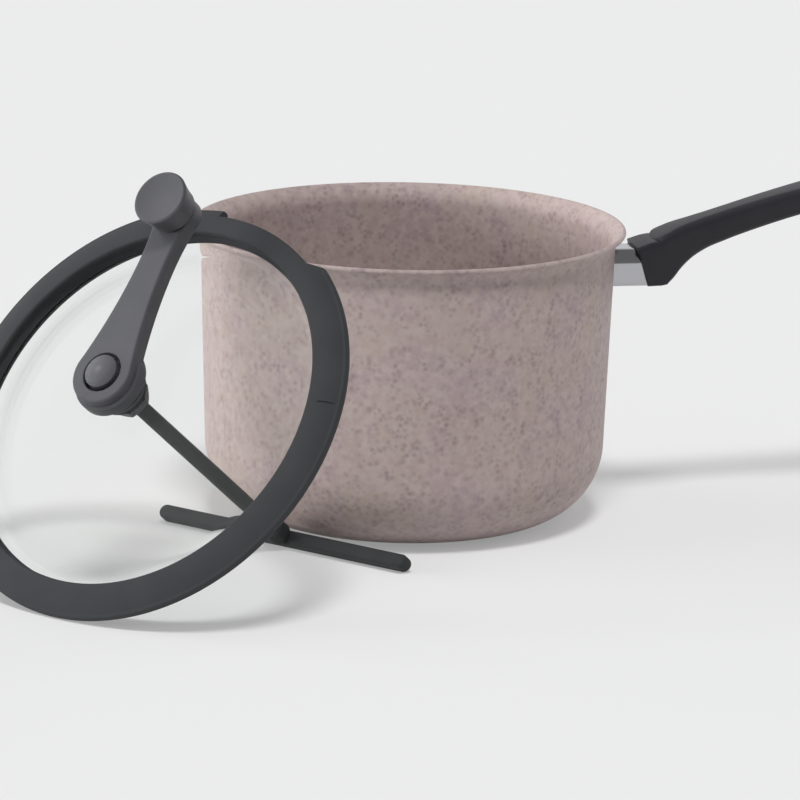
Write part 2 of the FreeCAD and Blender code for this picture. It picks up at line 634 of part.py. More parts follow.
POT_PARTS = [pot_body, handle_bracket, bracket_rivets, flame_guard, handle, handle_screw, handle_lock_washer]
LID_PARTS = [lid_ring, lid_glass, hub_neck, upper_seal, lower_seal, hub_nut, shaft_bush,
             crank_arm, hub_cap, shaft_nut, shaft_washer, thrust_washer, drive_shaft, clip_washer, retaining_clip,
             paddle, paddle_pin, crank_knob, knob_insert, knob_screw, knob_washer]


def main():
    os.makedirs("parts", exist_ok=True)
    lean = lid_placement()
    for make in POT_PARTS + LID_PARTS:
        shape = make()
        if make in LID_PARTS:
            shape.Placement = lean.multiply(shape.Placement)
        shape.exportStep("parts/" + make.__name__ + ".step")
        print(make.__name__, "solids", len(shape.Solids), "valid", shape.isValid(), "volume", round(shape.Volume))
    knob_axis = lean.multVec(Vector(0, ARM_REACH, 0))
    print("lid centre", lean.Base, "crank axis", lean.Rotation.multVec(Vector(0, 0, 1)), "knob axis at", knob_axis)


main()
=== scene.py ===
import json
import math

import bpy
import numpy as np
from mathutils import Matrix


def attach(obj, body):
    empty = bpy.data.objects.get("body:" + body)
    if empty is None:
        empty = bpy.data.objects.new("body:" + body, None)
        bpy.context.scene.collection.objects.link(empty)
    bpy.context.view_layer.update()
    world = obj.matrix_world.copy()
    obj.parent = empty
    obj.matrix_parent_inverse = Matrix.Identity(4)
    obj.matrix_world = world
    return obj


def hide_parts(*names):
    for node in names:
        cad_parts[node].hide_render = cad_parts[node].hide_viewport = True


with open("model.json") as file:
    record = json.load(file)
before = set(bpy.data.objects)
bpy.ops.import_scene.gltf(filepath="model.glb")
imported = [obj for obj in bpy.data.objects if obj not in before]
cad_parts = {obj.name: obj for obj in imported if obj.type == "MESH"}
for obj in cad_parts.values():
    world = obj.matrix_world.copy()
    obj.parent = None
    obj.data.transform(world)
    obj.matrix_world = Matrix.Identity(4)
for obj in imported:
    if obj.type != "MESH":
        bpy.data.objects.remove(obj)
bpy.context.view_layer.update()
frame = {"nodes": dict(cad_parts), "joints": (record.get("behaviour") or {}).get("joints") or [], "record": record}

# Dimensions are in millimetres and are made metres where a mesh is built.
# The pot stands on the origin with its handle along +X.  The lid's pieces are worked out in the
# lid's own frame: X along the paddle, Y along the crank arm, Z along the crank's axis, from the
# middle of the ring's flange.  Profiles of turned pieces are points (radius, height).


# ---- shapes of profiles and plans ----------------------------------------------------------------

def arc(centre, radius, start, end, steps=12):
    """Points of a circular arc between two angles in degrees: centre + radius (cos a, sin a)."""
    a = np.radians(np.linspace(start, end, steps))
    return np.stack([centre[0] + radius * np.cos(a), centre[1] + radius * np.sin(a)], 1)


def arc_through(first, middle, last, steps=24):
    """Points of the circle through three points, from the first to the last, round the
    circumcentre of their triangle."""
    a, b, c = (np.array(p, float) for p in (first, middle, last))
    d = 2 * (a[0] * (b[1] - c[1]) + b[0] * (c[1] - a[1]) + c[0] * (a[1] - b[1]))
    sq = [p @ p for p in (a, b, c)]
    centre = np.array([(sq[0] * (b[1] - c[1]) + sq[1] * (c[1] - a[1]) + sq[2] * (a[1] - b[1])) / d,
                       (sq[0] * (c[0] - b[0]) + sq[1] * (a[0] - c[0]) + sq[2] * (b[0] - a[0])) / d])
    start, end = (math.atan2(p[1] - centre[1], p[0] - centre[0]) for p in (a, c))
    turn = (end - start + math.pi) % (2 * math.pi) - math.pi
    t = start + turn * np.linspace(0, 1, steps)
    return centre + np.hypot(*(a - centre)) * np.stack([np.cos(t), np.sin(t)], 1)


def rounded(corners, steps=7):
    """Open profile through corners (x, y, radius), each corner replaced by the arc that touches
    both its sides: its centre is radius / sin(half the angle) along the bisector."""
    corners = [tuple(c) + (0.0,) * (3 - len(c)) for c in corners]
    points = [np.array([corners[0][:2]])]
    for before, here, after in zip(corners, corners[1:], corners[2:]):
        p, radius = np.array(here[:2]), here[2]
        if radius <= 0:
            points.append(p[None])
            continue
        a, b = (np.array(q[:2]) - p for q in (before, after))
        a, b = a / np.hypot(*a), b / np.hypot(*b)
        half = math.acos(np.clip(a @ b, -1, 1)) / 2
        centre = p + (a + b) / np.hypot(*(a + b)) * radius / math.sin(half)
        ends = [p + v * radius / math.tan(half) - centre for v in (a, b)]
        start, end = (math.atan2(v[1], v[0]) for v in ends)
        turn = (end - start + math.pi) % (2 * math.pi) - math.pi
        t = start + turn * np.linspace(0, 1, steps)
        points.append(centre + radius * np.stack([np.cos(t), np.sin(t)], 1))
    points.append(np.array([corners[-1][:2]]))
    return np.vstack(points)


def divided(points, step):
    """The same polyline with extra points, so that no run is longer than step."""
    runs = np.hypot(*np.diff(points, axis=0).T)
    counts = np.maximum(1, np.ceil(runs / step)).astype(int)
    parts = [points[i] + (points[i + 1] - points[i]) * np.linspace(0, 1, n, endpoint=False)[:, None]
             for i, n in enumerate(counts) if runs[i] > 1e-9]
    return np.vstack(parts + [points[-1:]])


def flow(stations, steps):
    """Smooth rows through stations of numbers: cubic Hermite curves over the first column, whose
    slopes at the stations are the differences to their neighbours."""
    s = np.array(stations, float)
    x = s[:, 0]
    slope = np.gradient(s, x, axis=0)
    at = np.linspace(x[0], x[-1], steps)
    i = np.clip(np.searchsorted(x, at) - 1, 0, len(x) - 2)
    h = (x[i + 1] - x[i])[:, None]
    t = (at - x[i])[:, None] / h
    return ((2 * t ** 3 - 3 * t ** 2 + 1) * s[i] + (t ** 3 - 2 * t ** 2 + t) * h * slope[i]
            + (3 * t ** 2 - 2 * t ** 3) * s[i + 1] + (t ** 3 - t ** 2) * h * slope[i + 1])


def lathe(profile, steps=192):
    """Surface of revolution: the profile's point (r, z) goes round to (r cos a, r sin a, z)."""
    a = np.linspace(0, 2 * math.pi, steps, endpoint=False)
    r, z = profile[:, :1], profile[:, 1:]
    return np.stack([r * np.cos(a), r * np.sin(a), z + 0 * a], -1)


def inward(plan, distance):
    """Closed plan curve moved to its left-hand inside: the curve minus distance times its normal."""
    tangent = np.roll(plan, -1, axis=0) - np.roll(plan, 1, axis=0)
    tangent /= np.hypot(*tangent.T)[:, None]
    normal = np.stack([tangent[:, 1], -tangent[:, 0]], 1)
    return plan - distance * normal


def level(curve, z):
    """Points (x, y, z) of a plan curve at a height, or at a height for each of its points."""
    return np.column_stack([curve, z + np.zeros(len(curve))])


# ---- putting surfaces into the model -------------------------------------------------------------

def skin(grid):
    """Vertices and faces of a grid of points, closed round its second direction.  A row whose
    points coincide is a pole with one vertex.  The faces point away from the enclosed volume."""
    columns = grid.shape[1]
    pole = np.ptp(grid, axis=1).max(axis=1) < 1e-7
    counts = np.where(pole, 1, columns)
    starts = np.concatenate([[0], np.cumsum(counts)[:-1]])
    index = starts[:, None] + np.where(pole[:, None], 0, np.arange(columns)[None])
    vertices = np.vstack([row[:n] for row, n in zip(grid, counts)])
    beside = np.roll(index, -1, axis=1)
    quads = np.stack([index[:-1], index[1:], beside[1:], beside[:-1]], -1).reshape(-1, 4)
    top, bottom = quads[:, 0] == quads[:, 3], quads[:, 1] == quads[:, 2]
    faces = quads[~top & ~bottom].tolist() + quads[top & ~bottom][:, :3].tolist()
    faces += quads[bottom & ~top][:, [0, 1, 3]].tolist()
    corner = vertices[quads]
    volume = sum(np.einsum("ij,ij->i", corner[:, 0], np.cross(corner[:, k], corner[:, k + 1])).sum()
                 for k in (1, 2))
    return vertices, faces if volume > 0 else [face[::-1] for face in faces]


def in_lid_frame():
    """Origin and axes (u, v, n) of the lid's frame in metres: n is the crank's hinge axis, u is
    level and v completes the three, so a point (x, y, z) lies at origin + x u + y v + z n."""
    crank = next(j for j in frame["joints"] if j["name"] == "crank_turn")
    n = np.array(crank["axis"], float)
    n /= np.linalg.norm(n)
    u = np.array([-n[1], n[0], 0.0])
    u /= np.linalg.norm(u)
    return np.array(crank["pos_m"], float), np.stack([u, np.cross(n, u), n])


LID_ORIGIN, LID_AXES = in_lid_frame()


def shaded_mesh(name, points, faces, material, smooth):
    """Mesh of points in metres; edges sharper than the smooth angle in degrees stay sharp."""
    mesh = bpy.data.meshes.new(name)
    mesh.from_pydata(points, [], faces)
    mesh.shade_smooth()
    mesh.set_sharp_from_angle(angle=math.radians(smooth))
    mesh.materials.append(material)
    return mesh


def build(name, grids, material, lid=False, smooth=32.0):
    """One object from grid surfaces in millimetres, given in the model's or the lid's frame."""
    vertices, faces, base = [], [], 0
    for grid in grids:
        v, f = skin(grid)
        vertices.append(v)
        faces += [[i + base for i in face] for face in f]
        base += len(v)
    points = np.vstack(vertices) * 0.001
    if lid:
        points = LID_ORIGIN + points @ LID_AXES
    piece = bpy.data.objects.new(name, shaded_mesh(name, points.tolist(), faces, material, smooth))
    bpy.context.scene.collection.objects.link(piece)
    return piece


def stand_for(piece, body, node):
    """The piece rides on its body and takes the place of the node, which is hidden."""
    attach(piece, body)
    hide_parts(node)


# ---- finishes ------------------------------------------------------------------------------------

def srgb(r, g, b):
    """Linear colour of an sRGB colour given as 0 to 255."""
    c = np.array([r, g, b]) / 255
    linear = np.where(c <= 0.04045, c / 12.92, ((c + 0.055) / 1.055) ** 2.4)
    return (*linear.tolist(), 1.0)


class Finish:
    """A material with one Principled shader and short ways to add textures on Object
    coordinates, whose scales are in cycles per metre."""

    def __init__(self, name, colour, roughness, **sockets):
        self.material = bpy.data.materials.new(name)
        self.material.use_nodes = True
        self.tree = self.material.node_tree
        self.shader = self.tree.nodes["Principled BSDF"]
        self.output = self.tree.nodes["Material Output"]
        self.coordinates = self.add("ShaderNodeTexCoord").outputs["Object"]
        self.shader.inputs["Base Color"].default_value = colour
        self.shader.inputs["Roughness"].default_value = roughness
        for socket, value in sockets.items():
            self.shader.inputs[socket.replace("_", " ")].default_value = value

    def add(self, kind, **inputs):
        """New node, with a value or a link for each named input."""
        node = self.tree.nodes.new(kind)
        for socket, value in inputs.items():
            self.feed(node.inputs[socket.replace("_", " ")], value)
        return node

    def feed(self, socket, value):
        """Links another node's output to the socket, or sets its value."""
        if isinstance(value, bpy.types.NodeSocket):
            self.tree.links.new(value, socket)
        else:
            socket.default_value = value

    def noise(self, scale, detail=2.0, roughness=0.5):
        """Cloudy pattern from 0 to 1."""
        node = self.add("ShaderNodeTexNoise", Scale=scale, Detail=detail, Roughness=roughness)
        self.feed(node.inputs["Vector"], self.coordinates)
        return node.outputs["Fac"]

    def cells(self, scale):
        """Scattered cells, each with a random colour and the distance to its point."""
        node = self.add("ShaderNodeTexVoronoi", Scale=scale)
        self.feed(node.inputs["Vector"], self.coordinates)
        return node

    def between(self, value, low, high, to_low=0.0, to_high=1.0):
        """The value's range low to high, cut off at both ends, mapped to another range."""
        node = self.add("ShaderNodeMapRange", Value=value, From_Min=low, From_Max=high,
                        To_Min=to_low, To_Max=to_high)
        return node.outputs["Result"]

    def times(self, a, b):
        """Product of two values."""
        node = self.tree.nodes.new("ShaderNodeMath")
        node.operation = "MULTIPLY"
        self.feed(node.inputs[0], a)
        self.feed(node.inputs[1], b)
        return node.outputs[0]

    def mixed(self, share, a, b):
        """Colour a (1 - share) + b share."""
        node = self.tree.nodes.new("ShaderNodeMix")
        node.data_type = "RGBA"
        self.feed(node.inputs["Factor"], share)
        self.feed(node.inputs["A"], a)
        self.feed(node.inputs["B"], b)
        return node.outputs["Result"]

    def colour(self, value):
        """Links the base colour."""
        self.feed(self.shader.inputs["Base Color"], value)

    def rough(self, value):
        """Links the roughness."""
        self.feed(self.shader.inputs["Roughness"], value)

    def bump(self, height, strength, distance):
        """Bends the shading by a height pattern; distance is in metres."""
        node = self.add("ShaderNodeBump", Strength=strength, Distance=distance, Height=height)
        self.feed(self.shader.inputs["Normal"], node.outputs["Normal"])


def speckled_ceramic():
    """Matt pinkish stone-coloured coat: a cloudy and mottled ground, soft dark specks of two
    sizes in loose clusters, and a faint pebbled surface."""
    f = Finish("speckled_ceramic", srgb(166, 150, 148), 0.55, Specular_IOR_Level=0.3)
    clouds = f.between(f.noise(38.0, 3.0), 0.34, 0.66)
    ground = f.mixed(clouds, srgb(170, 154, 146), srgb(164, 146, 149))
    mottle = f.between(f.noise(210.0, 3.0, 0.55), 0.36, 0.64)
    ground = f.mixed(mottle, ground, srgb(176, 161, 157))
    # fine specks: about half of the cells, darkest in the middle, more of them in some places
    fine = f.cells(430.0)
    chosen = f.between(fine.outputs["Color"], 0.40, 0.55)
    dot = f.between(fine.outputs["Distance"], 0.05, 0.75, 1.0, 0.0)
    patchy = f.between(f.noise(110.0, 2.0), 0.38, 0.62, 0.05, 0.55)
    ground = f.mixed(f.times(f.times(chosen, dot), patchy), ground, srgb(118, 102, 105))
    # larger and fainter blots
    large = f.cells(250.0)
    picked = f.between(large.outputs["Color"], 0.50, 0.58)
    blot = f.between(large.outputs["Distance"], 0.02, 0.50, 0.37, 0.0)
    ground = f.mixed(f.times(picked, blot), ground, srgb(116, 100, 104))
    f.colour(ground)
    f.rough(f.between(f.noise(260.0, 2.0), 0.3, 0.7, 0.50, 0.60))
    f.bump(f.noise(620.0, 2.0), 0.06, 0.0003)
    return f.material


def moulded(name, colour, light, roughness, grain, gloss=0.35):
    """Moulded plastic or rubber: faint flow marks towards a lighter colour, and a spark-eroded
    grain in the surface."""
    f = Finish(name, colour, roughness, Specular_IOR_Level=gloss)
    f.colour(f.mixed(f.between(f.noise(70.0, 3.0), 0.3, 0.7), colour, light))
    f.rough(f.between(f.noise(420.0, 2.0), 0.3, 0.7, roughness - 0.015, roughness + 0.015))
    f.bump(f.noise(2600.0, 1.0), grain, 0.0002)
    return f.material


def metal(name, colour, roughness, streak):
    """Bare or plated metal: fine drawn lines along X vary the roughness by the streak."""
    f = Finish(name, colour, roughness, Metallic=1.0)
    stretch = f.add("ShaderNodeMapping", Scale=(8.0, 900.0, 900.0))
    f.feed(stretch.inputs["Vector"], f.coordinates)
    lines = f.add("ShaderNodeTexNoise", Scale=1.0, Detail=3.0)
    f.feed(lines.inputs["Vector"], stretch.outputs["Vector"])
    f.rough(f.between(lines.outputs["Fac"], 0.3, 0.7, roughness - streak, roughness + streak))
    return f.material


def clear_glass():
    """Clear tempered glass with a faint milky haze; light goes straight through it, so that it
    throws only a weak shadow."""
    f = Finish("clear_glass", srgb(250, 252, 251), 0.0, IOR=1.15, Transmission_Weight=1.0)
    haze = f.add("ShaderNodeBsdfTranslucent", Color=srgb(250, 250, 250))
    hazy = f.add("ShaderNodeMixShader", Fac=0.022)
    f.feed(hazy.inputs[1], f.shader.outputs[0])
    f.feed(hazy.inputs[2], haze.outputs[0])
    path = f.add("ShaderNodeLightPath")
    clear = f.add("ShaderNodeBsdfTransparent", Color=srgb(243, 245, 244))
    either = f.add("ShaderNodeMixShader")
    f.feed(either.inputs["Fac"], path.outputs["Is Shadow Ray"])
    f.feed(either.inputs[1], hazy.outputs[0])
    f.feed(either.inputs[2], clear.outputs[0])
    f.feed(f.output.inputs["Surface"], either.outputs[0])
    return f.material


CERAMIC = speckled_ceramic()
BAKELITE = moulded("bakelite", srgb(40, 39, 43), srgb(44, 43, 47), 0.42, 0.05, gloss=0.22)
NYLON = moulded("nylon", srgb(69, 69, 73), srgb(74, 74, 77), 0.46, 0.08, gloss=0.4)
GLOSS_NYLON = moulded("gloss_nylon", srgb(74, 74, 78), srgb(77, 77, 81), 0.27, 0.02, gloss=0.5)
BLACK_NYLON = moulded("black_nylon", srgb(49, 50, 51), srgb(53, 54, 55), 0.60, 0.08, gloss=0.2)
SILICONE = moulded("ring_silicone", srgb(51, 52, 54), srgb(54, 55, 57), 0.70, 0.06, gloss=0.32)
ROD = moulded("dark_shaft", srgb(46, 48, 48), srgb(49, 51, 51), 0.60, 0.04, gloss=0.2)
STEEL = metal("polished_steel", srgb(180, 180, 183), 0.16, 0.04)
ZINC = metal("zinc_steel", srgb(190, 190, 192), 0.35, 0.06)
RIVET = metal("aluminium_rivet", srgb(205, 203, 202), 0.33, 0.06)
BRASS = metal("brass_insert", srgb(200, 165, 105), 0.30, 0.05)
PTFE = moulded("bearing_plastic", srgb(222, 221, 216), srgb(228, 227, 223), 0.45, 0.03)
GLASS = clear_glass()

FINISH_OF_SLOT = {"speckled_ceramic": CERAMIC, "bakelite": BAKELITE, "nylon": NYLON,
                  "gloss_nylon": GLOSS_NYLON, "black_nylon": BLACK_NYLON,
                  "ring_silicone": SILICONE, "clear_glass": GLASS, "polished_steel": STEEL,
                  "dark_shaft": ROD, "zinc_steel": ZINC, "aluminium_rivet": RIVET,
                  "brass_insert": BRASS, "bearing_plastic": PTFE}


def finish_nodes():
    """Every node of the frame takes the finish of its slot."""
    for entry in frame["record"]["subparts"]:
        materials = frame["nodes"][entry["node"]].data.materials
        finish = FINISH_OF_SLOT[entry["material_slot"]]
        for i in range(len(materials)):
            materials[i] = finish
        if not len(materials):
            materials.append(finish)


# ---- pot -----------------------------------------------------------------------------------------

POT_HEIGHT, POT_SHEET = 142.0, 2.3
BASE_CURVE = 36.8                             # radius of the curve between base and wall
WALL_LOW_RADIUS, WALL_HIGH_RADIUS, WALL_RISE = 97.0, 100.2, 95.2
LIP_CURVE, LIP_TURN = 9.0, 60.0               # radius in mm and turn in degrees of the flared lip


def wall_radius(z):
    """Outside radius of the pot's wall at a height: it grows evenly over the wall's rise."""
    return WALL_LOW_RADIUS + (WALL_HIGH_RADIUS - WALL_LOW_RADIUS) * (z - BASE_CURVE) / WALL_RISE


def pot_shell():
    """Turned pot: flat base, a large curve, a wall that opens slightly, a flared lip with a round
    edge, and the same curves back down the inside at the sheet's thickness."""
    half = POT_SHEET / 2
    base_centre = (WALL_LOW_RADIUS - BASE_CURVE, BASE_CURVE)
    lip_centre = (WALL_HIGH_RADIUS + LIP_CURVE,
                  POT_HEIGHT - half - (LIP_CURVE + half) * math.sin(math.radians(LIP_TURN)))

    def face(depth):
        """One face of the sheet, from the middle of the base to the lip's edge."""
        return np.vstack([[[0.0, depth]], arc(base_centre, BASE_CURVE - depth, -90, 0, 40),
                          arc(lip_centre, LIP_CURVE + depth, 180, 180 - LIP_TURN, 16)])

    outside, inside = face(0.0), face(POT_SHEET)
    edge = arc((outside[-1] + inside[-1]) / 2, half, -LIP_TURN, 180 - LIP_TURN, 12)
    profile = divided(np.vstack([outside, edge[1:-1], inside[::-1]]), 4.0)
    piece = build("pot_shell", [lathe(profile, 256)], CERAMIC)
    stand_for(piece, "pot", "pot_body")


# ---- flame guard and handle ----------------------------------------------------------------------

GUARD_LOW, GUARD_HIGH, GUARD_HALF = 111.6, 129.4, 12.0
GUARD_LOW_CORNER, GUARD_HIGH_CORNER, GUARD_SHEET = 2.5, 6.6, 1.0
FACE_LOW_X, FACE_HIGH_X = 116.8, 111.6        # the handle's leaning front face, low and high


def section(half, low, high, low_corner, high_corner, steps=9):
    """Rounded rectangle round the points (y, z), with its own corner radii below and above."""
    return np.vstack([arc((half - low_corner, low + low_corner), low_corner, -90, 0, steps),
                      arc((half - high_corner, high - high_corner), high_corner, 0, 90, steps),
                      arc((high_corner - half, high - high_corner), high_corner, 90, 180, steps),
                      arc((low_corner - half, low + low_corner), low_corner, 180, 270, steps)])


def handle_face(z):
    """x of the handle's leaning front face at a height."""
    return FACE_LOW_X + (FACE_HIGH_X - FACE_LOW_X) * (z - GUARD_LOW) / (GUARD_HIGH - GUARD_LOW)


def flame_guard():
    """Sleeve: a rounded rectangle carried from the pot's wall, x = sqrt(R(z)^2 - y^2), to the
    handle's face.  It goes 0.2 mm into the wall's coat and 0.3 mm into the face."""
    def tube(inset, along):
        """Rings of the sleeve's outside, or of its inside at the sheet's thickness."""
        yz = divided(section(GUARD_HALF - inset, GUARD_LOW + inset, GUARD_HIGH - inset,
                             GUARD_LOW_CORNER - inset, GUARD_HIGH_CORNER - inset), 1.5)
        y, z = yz[:, 0], yz[:, 1]
        wall = np.sqrt((wall_radius(z) - 0.2) ** 2 - y ** 2)
        x = wall + (handle_face(z) + 0.3 - wall) * np.array(along)[:, None]
        return np.stack([x, y + 0 * x, z + 0 * x], -1)

    along = np.linspace(0, 1, 12)
    grid = np.concatenate([tube(0.0, along), tube(GUARD_SHEET, along[::-1]), tube(0.0, [0.0])])
    piece = build("flame_guard_skin", [grid], STEEL)
    stand_for(piece, "pot", "flame_guard")


# stations of the grip: x, lowest z, highest z, half width, corner radius below, corner radius above
GRIP = [
    (127.0, 112.1, 137.4, 12.4, 3.2, 4.2),
    (130.0, 114.7, 138.9, 11.6, 3.4, 4.4),
    (134.0, 119.3, 140.5, 10.5, 3.8, 4.4),
    (139.0, 123.8, 142.1, 9.7, 4.2, 4.4),
    (146.0, 128.1, 144.3, 9.1, 4.6, 4.4),
    (156.0, 132.2, 147.4, 8.9, 4.8, 4.4),
    (175.0, 139.0, 153.1, 9.5, 4.8, 4.4),
    (202.0, 147.3, 160.2, 11.2, 4.6, 4.4),
    (230.0, 154.1, 166.6, 12.8, 4.6, 4.4),
    (258.0, 159.2, 171.0, 13.4, 4.6, 4.4),
    (277.0, 161.8, 172.8, 12.0, 4.4, 4.2),
    (285.0, 162.9, 172.8, 9.6, 4.0, 4.0),
    (288.3, 163.9, 172.0, 7.4, 3.4, 3.4),
]
END_BULGE = 1.7
NOSE_FRONT, NOSE_BACK, NOSE_HALF, NOSE_EDGE = 120.8, 126.6, 12.5, 2.2
NOSE_LOW, NOSE_HIGH, NOSE_SLOPE, NOSE_CORNER = 112.6, 137.25, 0.45, 4.2
COLLAR_BACK, COLLAR_HIGH, COLLAR_SLOPE, COLLAR_HALF = 123.6, 130.3, 0.27, 13.4
COLLAR_LOW_CORNER, COLLAR_HIGH_CORNER = 1.8, 2.6

# the slot to hang it by: half width, half length, middle and slope, and the heights and flares
# of its rows from below
SLOT_HALF, SLOT_REACH, SLOT_X, SLOT_Z, SLOT_SLOPE = 4.6, 9.0, 270.0, 166.9, 0.15
SLOT_ROWS = [(-12, 3.0), (-6.6, 2.2), (-5.6, 0.9), (-4.6, 0.15), (-3.6, 0),
             (3.8, 0), (4.6, 0.15), (5.6, 0.9), (6.6, 2.2), (12, 3.0)]


def grip_ring(x, low, high, half, low_corner, high_corner):
    """One rounded section of the handle at a station."""
    yz = section(half, low, high, low_corner, high_corner)
    return np.stack([np.full(len(yz), x), yz[:, 0], yz[:, 1]], -1)


def grip_surface():
    """The grip: a blunt nose whose plan is half a superellipse, |x|^4 + |y|^4 = 1, with a rounded
    top edge, then the loft through the stations, closed by a round end."""
    rows = []
    for t in np.radians([2, 6, 12, 20, 30, 40, 50, 60, 70, 80, 90]):
        x = NOSE_BACK - (NOSE_BACK - NOSE_FRONT) * math.sqrt(math.cos(t))
        half = NOSE_HALF * math.sqrt(math.sin(t))
        short = max(0.0, NOSE_FRONT + NOSE_EDGE - x)
        drop = NOSE_EDGE - math.sqrt(NOSE_EDGE ** 2 - short ** 2)
        high = NOSE_HIGH - NOSE_SLOPE * (NOSE_BACK - x) - drop
        rows.append(grip_ring(x, NOSE_LOW, high, half, 0.3 * half, min(NOSE_CORNER, 0.6 * half)))
    rows.insert(0, np.repeat(rows[0].mean(axis=0)[None], len(rows[0]), axis=0))
    rows += [grip_ring(*s) for s in flow(GRIP, 110)]
    last = rows[-1]
    middle = last.mean(axis=0)
    for a in np.radians(np.linspace(12, 90, 8)):
        rows.append(middle + (last - middle) * math.cos(a) + [END_BULGE * math.sin(a), 0, 0])
    rows[-1] = np.repeat(rows[-1].mean(axis=0)[None], len(last), axis=0)
    return np.array(rows)


def collar_surface():
    """The low collar between the leaning front face and the grip, in which its back end is
    hidden: rounded sections, the first of them laid on the face, with closed ends."""
    def collar(x):
        """Upright section at x: its top rises, its sides draw in, its underside rises late."""
        return grip_ring(x, GUARD_LOW + 0.16 * max(0.0, x - COLLAR_BACK),
                         COLLAR_HIGH + COLLAR_SLOPE * (x - FACE_HIGH_X),
                         COLLAR_HALF - 0.1 * max(0.0, x - 115.6),
                         COLLAR_LOW_CORNER, COLLAR_HIGH_CORNER)

    def leaning(x):
        """The same section laid on the leaning face."""
        ring = collar(x)
        ring[:, 0] = handle_face(ring[:, 2])
        return ring

    front = leaning(113.5)
    centre = front.mean(axis=0)
    rows = [centre + (front - centre) * k for k in (0.0, 0.5, 0.96)]
    rows += [front + [behind, 0, 0] + (centre - front) * shrink
             for behind, shrink in ((0.0, 0.018), (0.15, 0.005), (0.5, 0.0))]
    rows += [leaning(FACE_HIGH_X + 12.0 * s) * (1 - s) + collar(COLLAR_BACK) * s
             for s in (0.25, 0.5, 0.75)]
    rows += [collar(x) for x in (COLLAR_BACK, 125.2, 126.5)]
    last = rows[-1]
    middle = last.mean(axis=0)
    rows += [middle + (last - middle) * k + [behind, 0, 0]
             for k, behind in ((0.98, 0.5), (0.9, 1.5), (0.0, 2.0))]
    return np.array(rows)


def slot_surface():
    """Body of the slot: a stadium that follows the grip's slope, z = z0 + slope x, and widens into
    a funnel near both faces."""
    straight = SLOT_REACH - SLOT_HALF
    plan = np.vstack([arc((straight, 0), SLOT_HALF, -90, 90, 16),
                      arc((-straight, 0), SLOT_HALF, 90, 270, 16)])
    outward = plan / np.hypot(*plan.T)[:, None]
    rows = [level(plan + outward * flare, height) for height, flare in SLOT_ROWS]
    grid = np.array([rows[0] * [0, 0, 1]] + rows + [rows[-1] * [0, 0, 1]])
    grid[..., 2] += SLOT_Z + SLOT_SLOPE * grid[..., 0]
    grid[..., 0] += SLOT_X
    return grid


def handle():
    """Grip with a slot through it, and the collar in front of it, in one mesh."""
    piece = build("handle_grip", [grip_surface()], BAKELITE)
    cutter = build("slot_cutter", [slot_surface()], BAKELITE)
    cut = piece.modifiers.new("slot", "BOOLEAN")
    cut.operation, cut.object, cut.solver = "DIFFERENCE", cutter, "EXACT"
    bpy.context.view_layer.update()
    graph = bpy.context.evaluated_depsgraph_get()
    grip = bpy.data.meshes.new_from_object(piece.evaluated_get(graph))
    piece.modifiers.clear()
    bpy.data.objects.remove(cutter)
    collar = build("handle_collar", [collar_surface()], BAKELITE)
    points, faces = [], []
    for mesh in (grip, collar.data):
        faces += [[i + len(points) for i in face.vertices] for face in mesh.polygons]
        points += [tuple(v.co) for v in mesh.vertices]
    piece.data = shaded_mesh("handle_grip", points, faces, BAKELITE, 40)
    bpy.data.objects.remove(collar)
    stand_for(piece, "pot", "handle")


# ---- lid -----------------------------------------------------------------------------------------

RING_RADIUS, FLANGE_HALF, FLANGE_EDGE = 106.2, 2.0, 1.6
LIP_RADIUS, LIP_HEIGHT, LIP_ROUND = 90.3, 6.4, 1.2      # the ring's raised inner rim
CROWN_BULGE = 0.9                                       # of the slope from the rim to the flange
SKIRT_RADIUS, SKIRT_DEPTH, SKIRT_INSIDE = 96.2, 8.0, 91.5
VENT_RADIUS, VENT_START, VENT_END = 101.0, 58.0, 92.5
SHOULDER_RADIUS, SHOULDER_END, CUT_FADES = 104.6, 103.0, 97.0
MARK_ANGLE, MARK_START, MARK_END, MARK_DEPTH = 11.5, 96.0, 103.0, 0.6
GLASS_RADIUS, GLASS_RIM_TOP, GLASS_THICKNESS = 94.0, -1.6, 4.0


def flange_cut(angle):
    """How far the flange's edge is set in at an angle in degrees: the steam vent, whose near end
    is a straight cut at a constant y, and the narrower stretch after it."""
    cut_y = VENT_RADIUS * math.sin(math.radians(VENT_START))
    corner = math.degrees(math.asin(cut_y / RING_RADIUS))
    slanted = cut_y / np.sin(np.radians(np.clip(angle, corner, VENT_START)))
    limit = np.where((angle > corner) & (angle < VENT_START), slanted, RING_RADIUS)
    limit = np.where((angle >= VENT_START) & (angle <= VENT_END), VENT_RADIUS, limit)
    limit = np.where((angle > VENT_END) & (angle < SHOULDER_END), SHOULDER_RADIUS, limit)
    return RING_RADIUS - np.minimum(limit, RING_RADIUS)


def ring_face():
    """The ring's bulged slope from its raised inner rim to the flange's edge."""
    start = np.array([LIP_RADIUS + LIP_ROUND, LIP_HEIGHT])
    end = np.array([RING_RADIUS - FLANGE_EDGE, FLANGE_HALF])
    run = end - start
    crest = (start + end) / 2 + CROWN_BULGE * np.array([-run[1], run[0]]) / np.hypot(*run)
    return arc_through(start, crest, end, 20)


